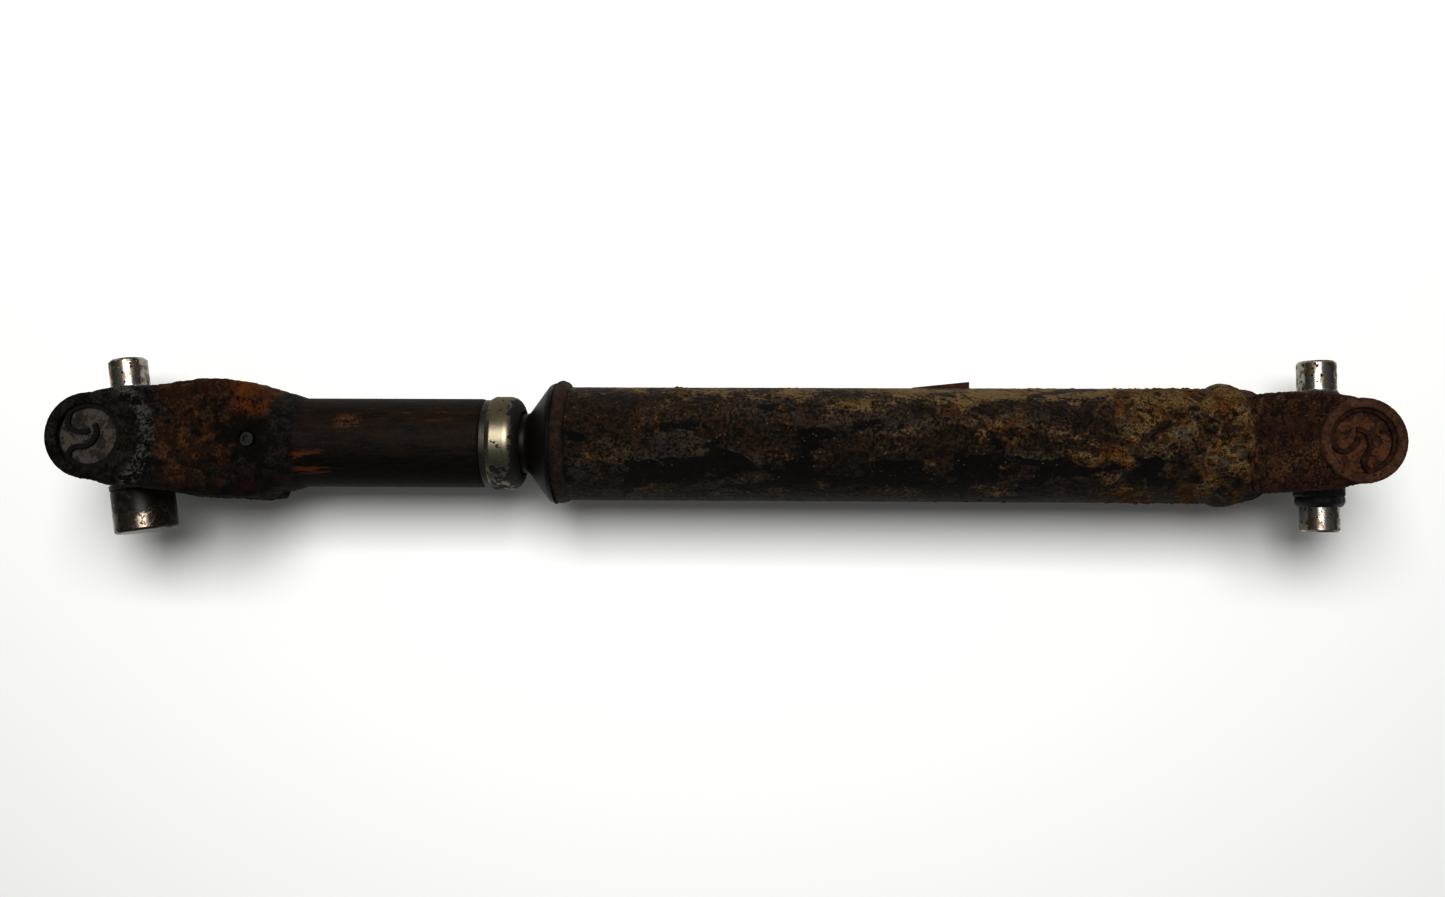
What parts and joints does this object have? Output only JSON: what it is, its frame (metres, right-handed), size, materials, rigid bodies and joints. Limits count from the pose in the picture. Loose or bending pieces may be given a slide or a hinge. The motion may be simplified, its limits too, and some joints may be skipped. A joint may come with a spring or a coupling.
{
  "type": "universal joint shaft",
  "caption": "Tubular drive shaft with a splined slip joint and a universal joint cross in the fork at each end, lying on its ears without the mating yokes.",
  "frame": {"origin": "centre of the tube-end joint, where both axes of its cross meet", "axes": "+X along the shaft away from the slip joint, +Z along the ear bores of both forks, away from the surface that it lies on"},
  "size_m": [0.5668, 0.0808, 0.088],
  "materials": {
    "tube": "old dark paint over mottled rust",
    "stub_shaft": "oily dark steel",
    "weld": "rusted weld",
    "tube_yoke": "pitted red-brown rust on forged steel",
    "balance_weight": "rusted sheet steel",
    "seated_cup": "stained hardened steel",
    "circlip": "blackened spring steel",
    "slip_yoke": "oily forged steel with scuffs and rust",
    "core_plug": "dull pressed steel",
    "grease_plug": "dull steel",
    "dust_cap": "tarnished nickel",
    "washer": "plain steel",
    "felt": "oily felt",
    "cross_steel": "ground journals on a dark forged middle",
    "cork": "oily cork",
    "retainer": "pressed sheet steel",
    "nipple": "plated steel",
    "needle_steel": "polished bearing steel",
    "bare_cup": "ground steel with oil stains"
  },
  "bodies": {
    "tube_shaft": {"tube": "tube", "stub_shaft": "stub_shaft", "weld_bead_stub": "weld", "weld_bead_yoke": "weld", "tube_yoke": "tube_yoke", "balance_weight": "balance_weight", "weight_tacks": "weld", "tube_cup_upper": "seated_cup", "tube_cup_lower": "seated_cup", "tube_circlip_upper": "circlip", "tube_circlip_lower": "circlip"},
    "slip_yoke": {"slip_yoke": "slip_yoke", "core_plug": "core_plug", "grease_plug": "grease_plug", "dust_cap": "dust_cap", "lock_ring": "washer", "felt_seal": "felt", "seal_washer": "washer", "slip_cup_upper": "seated_cup", "slip_cup_lower": "seated_cup", "slip_circlip_upper": "circlip", "slip_circlip_lower": "circlip"},
    "slip_cross": {"slip_cross": "cross_steel", "slip_cross_seals": "cork", "slip_cross_seal_retainers": "retainer", "slip_cross_nipple": "nipple"},
    "slip_needles": {"slip_needles_upper": "needle_steel", "slip_needles_lower": "needle_steel"},
    "loose_cup": {"loose_cup": "bare_cup"},
    "loose_needles": {"loose_needles": "needle_steel"},
    "tube_cross": {"tube_cross": "cross_steel", "tube_cross_seals": "cork", "tube_cross_seal_retainers": "retainer", "tube_cross_nipple": "nipple"},
    "tube_needles": {"tube_needles_upper": "needle_steel", "tube_needles_lower": "needle_steel"}
  },
  "joints": [
    {"name": "slip", "type": "slide", "parent": "tube_shaft", "child": "slip_yoke", "axis": [-1, 0, 0], "range_m": [-0.001, 0.05]},
    {"name": "slip_cross_swing", "type": "hinge", "parent": "slip_yoke", "child": "slip_cross", "pos_m": [-0.531, 0, 0], "axis": [0, 0, 1], "range_deg": [-38.5, 21.5]},
    {"name": "slip_needle_roll", "type": "hinge", "parent": "slip_yoke", "child": "slip_needles", "pos_m": [-0.531, 0, 0], "axis": [0, 0, 1], "range_deg": [-18, 11]},
    {"name": "loose_cup_spin", "type": "hinge", "parent": "slip_cross", "child": "loose_cup", "pos_m": [-0.531, 0, 0], "axis": [0.1478, -0.989, 0], "continuous": true},
    {"name": "loose_needle_roll", "type": "hinge", "parent": "slip_cross", "child": "loose_needles", "pos_m": [-0.531, 0, 0], "axis": [0.1478, -0.989, 0], "continuous": true},
    {"name": "tube_cross_swing", "type": "hinge", "parent": "tube_shaft", "child": "tube_cross", "pos_m": [0, 0, 0], "axis": [0, 0, 1], "range_deg": [-30, 30]},
    {"name": "tube_needle_roll", "type": "hinge", "parent": "tube_shaft", "child": "tube_needles", "pos_m": [0, 0, 0], "axis": [0, 0, 1], "range_deg": [-15, 15]}
  ],
  "couplings": [
    {"joint": "slip_needle_roll", "follows": "slip_cross_swing", "ratio": 0.43661},
    {"joint": "loose_needle_roll", "follows": "loose_cup_spin", "ratio": 0.56339},
    {"joint": "tube_needle_roll", "follows": "tube_cross_swing", "ratio": 0.43661}
  ]
}
